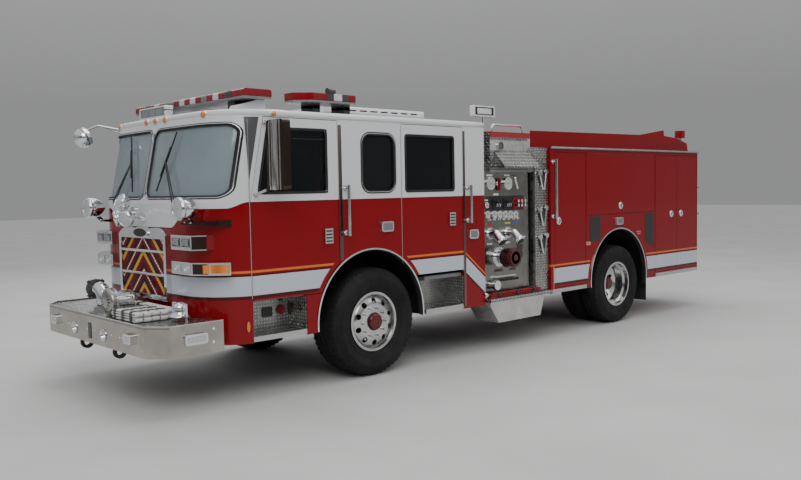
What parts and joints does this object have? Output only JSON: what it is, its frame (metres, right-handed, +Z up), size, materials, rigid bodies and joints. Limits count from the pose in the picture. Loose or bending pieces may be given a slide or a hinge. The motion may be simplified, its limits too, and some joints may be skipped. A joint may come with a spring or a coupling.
{
  "type": "fire engine",
  "caption": "Fire engine with a crew cab, mid-ship pump panels, side lockers with doors, hose bed, light bars and steered front wheels.",
  "frame": {"origin": "on the ground, at the middle of the overall length and width", "axes": "+X towards the front of the vehicle, +Y to its left, +Z up"},
  "size_m": [9.178, 3.192, 2.867],
  "materials": {
    "axle_paint": "painted black",
    "bumper_metal": "mirror polished",
    "chrome_trim": "bright",
    "cover_vinyl": "coated",
    "frame_paint": "satin black",
    "glass_dark": "tinted",
    "grey_trim": "satin",
    "hose_jacket": "woven",
    "lamp_red": "lens",
    "paint_red": "gloss",
    "paint_white": "gloss",
    "rubber_black": "matt",
    "seat_fabric": "woven",
    "steel_panel": "brushed",
    "tread_plate": "diamond plate",
    "tyre_rubber": "matt",
    "wheel_metal": "polished"
  },
  "bodies": {
    "knuckle_left": {"knuckle_left": "axle_paint"},
    "wheel_front_left": {"tyre_front_left": "tyre_rubber", "rim_front_left": "wheel_metal"},
    "wheel_rear_left": {"tyre_rear_left": "tyre_rubber", "rim_rear_left": "wheel_metal"},
    "door_front_left": {"door_front_left": "paint_red", "pane_front_left": "glass_dark", "mirror_left": "chrome_trim"},
    "door_crew_left": {"door_crew_left": "paint_red", "pane_crew_left": "glass_dark"},
    "locker_front_left": {"locker_front_left": "paint_red"},
    "locker_middle_left": {"locker_middle_left": "paint_red"},
    "locker_rear_fore_left": {"locker_rear_fore_left": "paint_red"},
    "locker_rear_aft_left": {"locker_rear_aft_left": "paint_red"},
    "knuckle_right": {"knuckle_right": "axle_paint"},
    "wheel_front_right": {"tyre_front_right": "tyre_rubber", "rim_front_right": "wheel_metal"},
    "wheel_rear_right": {"tyre_rear_right": "tyre_rubber", "rim_rear_right": "wheel_metal"},
    "door_front_right": {"door_front_right": "paint_red", "pane_front_right": "glass_dark", "mirror_right": "chrome_trim"},
    "door_crew_right": {"door_crew_right": "paint_red", "pane_crew_right": "glass_dark"},
    "locker_front_right": {"locker_front_right": "paint_red"},
    "locker_middle_right": {"locker_middle_right": "paint_red"},
    "locker_rear_fore_right": {"locker_rear_fore_right": "paint_red"},
    "locker_rear_aft_right": {"locker_rear_aft_right": "paint_red"},
    "tie_rod": {"tie_rod": "frame_paint"},
    "beacon_head": {"beacon_head": "chrome_trim"},
    "vehicle": {"frame_rails": "frame_paint", "front_axle": "axle_paint", "rear_axle": "axle_paint", "powertrain": "frame_paint", "tanks": "frame_paint", "front_bumper": "bumper_metal", "cab_nose": "paint_red", "cab_glass": "glass_dark", "cab_sides": "paint_red", "cab_floor": "grey_trim", "cab_roof": "paint_white", "engine_cover_and_dash": "grey_trim", "seats": "seat_fabric", "steps": "tread_plate", "pump_house": "tread_plate", "pump_panels": "steel_panel", "body_modules": "paint_red", "hose_bed": "paint_red", "rear_panel": "tread_plate", "crosslay_cover": "cover_vinyl", "bright_trim": "chrome_trim", "mud_flaps": "rubber_black", "grille": "chrome_trim", "front_lamps": "chrome_trim", "light_bars": "lamp_red", "roof_equipment": "paint_white", "side_and_tail_lamps": "lamp_red", "bumper_gear": "chrome_trim", "bumper_hose": "hose_jacket"}
  },
  "joints": [
    {"name": "steer_left", "type": "hinge", "parent": "vehicle", "child": "knuckle_left", "pos_m": [2.177, 0.88, 0.547], "axis": [0, 0, 1], "range_deg": [-35, 35]},
    {"name": "steer_right", "type": "hinge", "parent": "vehicle", "child": "knuckle_right", "pos_m": [2.177, -0.88, 0.547], "axis": [0, 0, 1], "range_deg": [-35, 35]},
    {"name": "tie_rod_pivot", "type": "hinge", "parent": "knuckle_left", "child": "tie_rod", "pos_m": [2.027, 0.88, 0.455], "axis": [0, 0, 1], "range_deg": [-35, 35]},
    {"name": "roll_front_left", "type": "hinge", "parent": "knuckle_left", "child": "wheel_front_left", "pos_m": [2.177, 1.002, 0.547], "axis": [0, 1, 0], "continuous": true},
    {"name": "roll_rear_left", "type": "hinge", "parent": "vehicle", "child": "wheel_rear_left", "pos_m": [-2.188, 0.912, 0.528], "axis": [0, 1, 0], "continuous": true},
    {"name": "open_door_front_left", "type": "hinge", "parent": "vehicle", "child": "door_front_left", "pos_m": [3.6237, 1.221, 1.7], "axis": [0, 0, -1], "range_deg": [0, 80]},
    {"name": "open_door_crew_left", "type": "hinge", "parent": "vehicle", "child": "door_crew_left", "pos_m": [1.8107, 1.221, 1.7], "axis": [0, 0, -1], "range_deg": [0, 80]},
    {"name": "open_locker_front_left", "type": "hinge", "parent": "vehicle", "child": "locker_front_left", "pos_m": [-1.3837, 1.25, 1.45], "axis": [0, 0, 1], "range_deg": [0, 90]},
    {"name": "lift_locker_middle_left", "type": "hinge", "parent": "vehicle", "child": "locker_middle_left", "pos_m": [-2.2395, 1.25, 2.2847], "axis": [1, 0, 0], "range_deg": [0, 85]},
    {"name": "open_locker_rear_fore_left", "type": "hinge", "parent": "vehicle", "child": "locker_rear_fore_left", "pos_m": [-3.0953, 1.25, 1.45], "axis": [0, 0, -1], "range_deg": [0, 90]},
    {"name": "open_locker_rear_aft_left", "type": "hinge", "parent": "vehicle", "child": "locker_rear_aft_left", "pos_m": [-4.3017, 1.25, 1.45], "axis": [0, 0, 1], "range_deg": [0, 90]},
    {"name": "roll_front_right", "type": "hinge", "parent": "knuckle_right", "child": "wheel_front_right", "pos_m": [2.177, -1.002, 0.547], "axis": [0, 1, 0], "continuous": true},
    {"name": "roll_rear_right", "type": "hinge", "parent": "vehicle", "child": "wheel_rear_right", "pos_m": [-2.188, -0.912, 0.528], "axis": [0, 1, 0], "continuous": true},
    {"name": "open_door_front_right", "type": "hinge", "parent": "vehicle", "child": "door_front_right", "pos_m": [3.6237, -1.221, 1.7], "axis": [0, 0, 1], "range_deg": [0, 80]},
    {"name": "open_door_crew_right", "type": "hinge", "parent": "vehicle", "child": "door_crew_right", "pos_m": [1.8107, -1.221, 1.7], "axis": [0, 0, 1], "range_deg": [0, 80]},
    {"name": "open_locker_front_right", "type": "hinge", "parent": "vehicle", "child": "locker_front_right", "pos_m": [-1.3837, -1.25, 1.45], "axis": [0, 0, -1], "range_deg": [0, 90]},
    {"name": "lift_locker_middle_right", "type": "hinge", "parent": "vehicle", "child": "locker_middle_right", "pos_m": [-2.2395, -1.25, 2.2847], "axis": [-1, 0, 0], "range_deg": [0, 85]},
    {"name": "open_locker_rear_fore_right", "type": "hinge", "parent": "vehicle", "child": "locker_rear_fore_right", "pos_m": [-3.0953, -1.25, 1.45], "axis": [0, 0, 1], "range_deg": [0, 90]},
    {"name": "open_locker_rear_aft_right", "type": "hinge", "parent": "vehicle", "child": "locker_rear_aft_right", "pos_m": [-4.3017, -1.25, 1.45], "axis": [0, 0, -1], "range_deg": [0, 90]},
    {"name": "spin_beacon", "type": "hinge", "parent": "vehicle", "child": "beacon_head", "pos_m": [4.216, 0, 1.698], "axis": [1, 0, 0], "continuous": true}
  ],
  "couplings": [
    {"joint": "steer_right", "follows": "steer_left", "ratio": 1},
    {"joint": "tie_rod_pivot", "follows": "steer_left", "ratio": -1}
  ]
}
